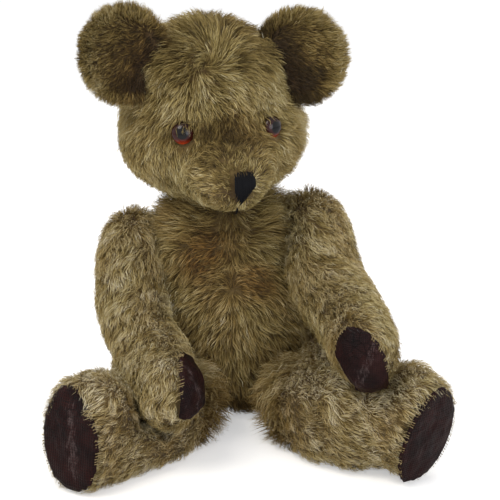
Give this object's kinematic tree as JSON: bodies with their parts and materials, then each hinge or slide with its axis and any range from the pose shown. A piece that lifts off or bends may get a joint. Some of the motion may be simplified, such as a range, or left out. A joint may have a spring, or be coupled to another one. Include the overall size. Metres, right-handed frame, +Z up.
{
  "type": "jointed teddy bear",
  "caption": "Seated old mohair toy bear, worn thin, with disc-jointed head, arms and legs, glass eyes and dark oilcloth paws and soles.",
  "frame": {"origin": "middle of the bounding box at floor level", "axes": "+Z up, the bear faces -Y, its own left side is +X"},
  "size_m": [0.3132, 0.2658, 0.3472],
  "materials": {
    "mohair": "woven mohair cloth, long pile, worn and dull",
    "ear_mohair": "mohair cloth, worn dark inside the ears",
    "stuffing": "loose plant-fibre stuffing, matt",
    "oilcloth": "oil-coated cotton cloth, scuffed semi-gloss",
    "thread": "stranded black embroidery thread",
    "steel": "plated steel wire and sheet, dulled",
    "glass": "pressed amber glass with a dark pupil",
    "hardboard": "pressed fibre board, matt"
  },
  "bodies": {
    "torso": {"hip_left_disc_torso": "hardboard", "hip_left_washer_torso": "steel", "hip_right_disc_torso": "hardboard", "hip_right_washer_torso": "steel", "neck_disc_torso": "hardboard", "neck_washer_torso": "steel", "shoulder_left_disc_torso": "hardboard", "shoulder_left_washer_torso": "steel", "shoulder_right_disc_torso": "hardboard", "shoulder_right_washer_torso": "steel", "torso_cover": "mohair", "torso_stuffing": "stuffing"},
    "arm_left": {"arm_left_cover": "mohair", "arm_left_stuffing": "stuffing", "paw_pad_left": "oilcloth", "shoulder_left_disc_arm": "hardboard", "shoulder_left_pin": "steel", "shoulder_left_washer_arm": "steel"},
    "arm_right": {"arm_right_cover": "mohair", "arm_right_stuffing": "stuffing", "paw_pad_right": "oilcloth", "shoulder_right_disc_arm": "hardboard", "shoulder_right_pin": "steel", "shoulder_right_washer_arm": "steel"},
    "head": {"ear_left": "ear_mohair", "ear_right": "ear_mohair", "eye_left": "glass", "eye_right": "glass", "eye_shank_left": "steel", "eye_shank_right": "steel", "head_cover": "mohair", "head_stuffing": "stuffing", "mouth_stitch": "thread", "neck_disc_head": "hardboard", "neck_pin": "steel", "neck_washer_head": "steel", "nose_stitching": "thread"},
    "leg_left": {"foot_pad_left": "oilcloth", "hip_left_disc_leg": "hardboard", "hip_left_pin": "steel", "hip_left_washer_leg": "steel", "leg_left_cover": "mohair", "leg_left_stuffing": "stuffing"},
    "leg_right": {"foot_pad_right": "oilcloth", "hip_right_disc_leg": "hardboard", "hip_right_pin": "steel", "hip_right_washer_leg": "steel", "leg_right_cover": "mohair", "leg_right_stuffing": "stuffing"}
  },
  "joints": [
    {"name": "neck", "type": "hinge", "parent": "torso", "child": "head", "pos_m": [-0.03041, 0.06891, 0.188], "axis": [0, 0, 1], "continuous": true},
    {"name": "shoulder_left", "type": "hinge", "parent": "torso", "child": "arm_left", "pos_m": [0.0307, 0.07091, 0.1524], "axis": [-0.9707, 0.0849, -0.225], "range_deg": [0, 60]},
    {"name": "shoulder_right", "type": "hinge", "parent": "torso", "child": "arm_right", "pos_m": [-0.07351, 0.07091, 0.1396], "axis": [-0.996, -0.0871, -0.0175], "range_deg": [0, 60]},
    {"name": "hip_left", "type": "hinge", "parent": "torso", "child": "leg_left", "pos_m": [0.04159, 0.07291, 0.046], "axis": [0.9848, 0.1736, 0], "range_deg": [0, 150]},
    {"name": "hip_right", "type": "hinge", "parent": "torso", "child": "leg_right", "pos_m": [-0.04841, 0.07291, 0.046], "axis": [0.9848, -0.1736, 0], "range_deg": [0, 110]}
  ]
}
